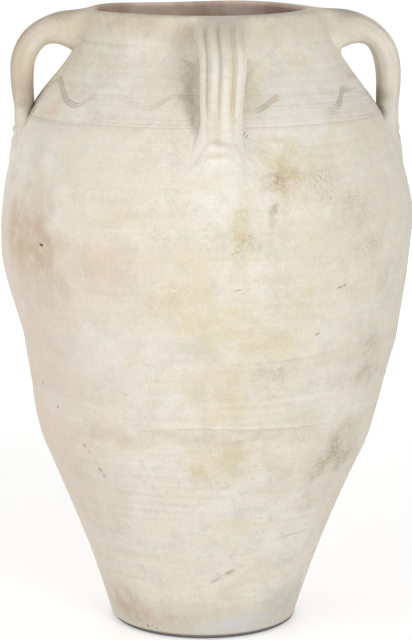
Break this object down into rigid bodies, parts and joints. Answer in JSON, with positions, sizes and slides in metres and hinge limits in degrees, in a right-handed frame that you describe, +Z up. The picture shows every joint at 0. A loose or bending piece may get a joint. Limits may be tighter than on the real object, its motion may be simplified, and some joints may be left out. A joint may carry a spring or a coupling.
{
  "type": "four-handled storage jar",
  "caption": "Tall earthenware amphora with a narrow flat foot, full belly, combed shoulder, heavy collar and grooved strap handles; holds stores or plants.",
  "frame": {"origin": "middle of the underside of the foot, on the ground", "axes": "+Z up along the jar's axis, +X and +Y each through the middle of a handle"},
  "size_m": [0.555, 0.555, 0.84],
  "materials": {
    "slip": "matte cream slip over earthenware, weathered",
    "raw_clay": "bare fired clay, matte"
  },
  "bodies": {
    "root": {"base_disc": "slip", "lower_wall": "slip", "belly_wall": "slip", "shoulder_wall": "slip", "combed_cone": "slip", "rim_collar": "slip", "handle_right": "slip", "handle_back": "slip", "handle_left": "slip", "handle_front": "slip", "handle_foot_right": "slip", "handle_foot_back": "slip", "handle_foot_left": "slip", "handle_foot_front": "slip", "floor_coil": "raw_clay", "lower_seam_coil": "raw_clay", "belly_seam_coil": "raw_clay", "shoulder_seam_coil": "raw_clay", "neck_seam_coil": "raw_clay"}
  },
  "joints": []
}
